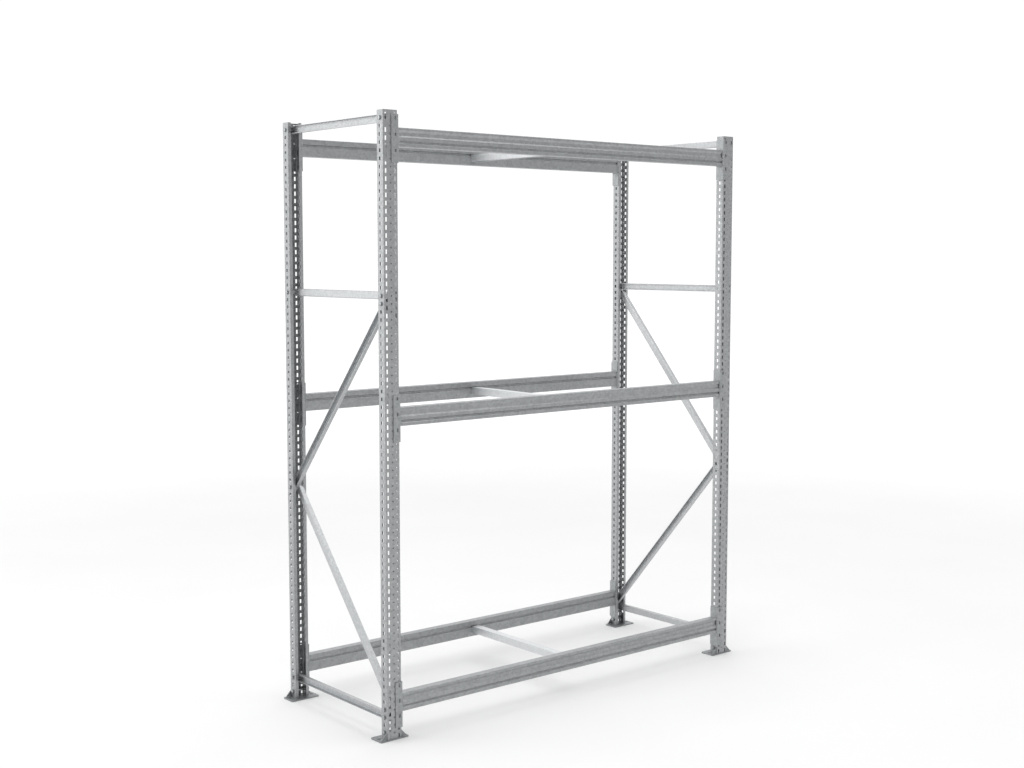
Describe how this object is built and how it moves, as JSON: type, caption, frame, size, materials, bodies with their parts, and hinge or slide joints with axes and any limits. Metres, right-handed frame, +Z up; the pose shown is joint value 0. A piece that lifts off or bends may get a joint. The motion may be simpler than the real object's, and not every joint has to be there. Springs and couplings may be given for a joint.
{
  "type": "tyre storage rack",
  "caption": "Free-standing galvanised tyre rack: two perforated braced end frames carry paired grooved beams, with tyres standing in the gap between front and rear beam.",
  "frame": {"origin": "on the floor, at the middle of the rack's footprint", "axes": "+X along the beams to the right, +Y from the front to the rear, +Z up"},
  "size_m": [1.665, 0.6066, 2],
  "materials": {
    "upright_steel": "roll-formed galvanised strip, satin with faint spangle",
    "beam_steel": "roll-formed galvanised strip, satin",
    "brace_steel": "galvanised channel, satin, slightly brighter",
    "cross_tie_steel": "galvanised channel, satin",
    "connector_steel": "galvanised pressed plate, satin",
    "footplate_steel": "galvanised plate, satin",
    "zinc_plated_fasteners": "bright zinc plate"
  },
  "bodies": {
    "end_frames": {"footplate_bolts": "zinc_plated_fasteners", "footplate_nuts": "zinc_plated_fasteners", "left_frame_bolts": "zinc_plated_fasteners", "left_frame_bottom_tie": "brace_steel", "left_frame_lower_diagonal": "brace_steel", "left_frame_middle_tie": "brace_steel", "left_frame_nuts": "zinc_plated_fasteners", "left_frame_sleeves": "zinc_plated_fasteners", "left_frame_top_tie": "brace_steel", "left_frame_upper_diagonal": "brace_steel", "left_front_footplate": "footplate_steel", "left_front_upright": "upright_steel", "left_rear_footplate": "footplate_steel", "left_rear_upright": "upright_steel", "right_frame_bolts": "zinc_plated_fasteners", "right_frame_bottom_tie": "brace_steel", "right_frame_lower_diagonal": "brace_steel", "right_frame_middle_tie": "brace_steel", "right_frame_nuts": "zinc_plated_fasteners", "right_frame_sleeves": "zinc_plated_fasteners", "right_frame_top_tie": "brace_steel", "right_frame_upper_diagonal": "brace_steel", "right_front_footplate": "footplate_steel", "right_front_upright": "upright_steel", "right_rear_footplate": "footplate_steel", "right_rear_upright": "upright_steel"},
    "bottom_level": {"bottom_cross_tie": "cross_tie_steel", "bottom_cross_tie_screws": "zinc_plated_fasteners", "bottom_front_beam": "beam_steel", "bottom_front_left_connector": "connector_steel", "bottom_front_right_connector": "connector_steel", "bottom_rear_beam": "beam_steel", "bottom_rear_left_connector": "connector_steel", "bottom_rear_right_connector": "connector_steel"},
    "middle_level": {"middle_cross_tie": "cross_tie_steel", "middle_cross_tie_screws": "zinc_plated_fasteners", "middle_front_beam": "beam_steel", "middle_front_left_connector": "connector_steel", "middle_front_right_connector": "connector_steel", "middle_rear_beam": "beam_steel", "middle_rear_left_connector": "connector_steel", "middle_rear_right_connector": "connector_steel"},
    "top_level": {"top_cross_tie": "cross_tie_steel", "top_cross_tie_screws": "zinc_plated_fasteners", "top_front_beam": "beam_steel", "top_front_left_connector": "connector_steel", "top_front_right_connector": "connector_steel", "top_rear_beam": "beam_steel", "top_rear_left_connector": "connector_steel", "top_rear_right_connector": "connector_steel"}
  },
  "joints": [
    {"name": "bottom_level_lift", "type": "slide", "parent": "end_frames", "child": "bottom_level", "axis": [0, 0, 1], "range_m": [0, 0.0085]},
    {"name": "middle_level_lift", "type": "slide", "parent": "end_frames", "child": "middle_level", "axis": [0, 0, 1], "range_m": [0, 0.0085]},
    {"name": "top_level_lift", "type": "slide", "parent": "end_frames", "child": "top_level", "axis": [0, 0, 1], "range_m": [0, 0.0085]}
  ]
}
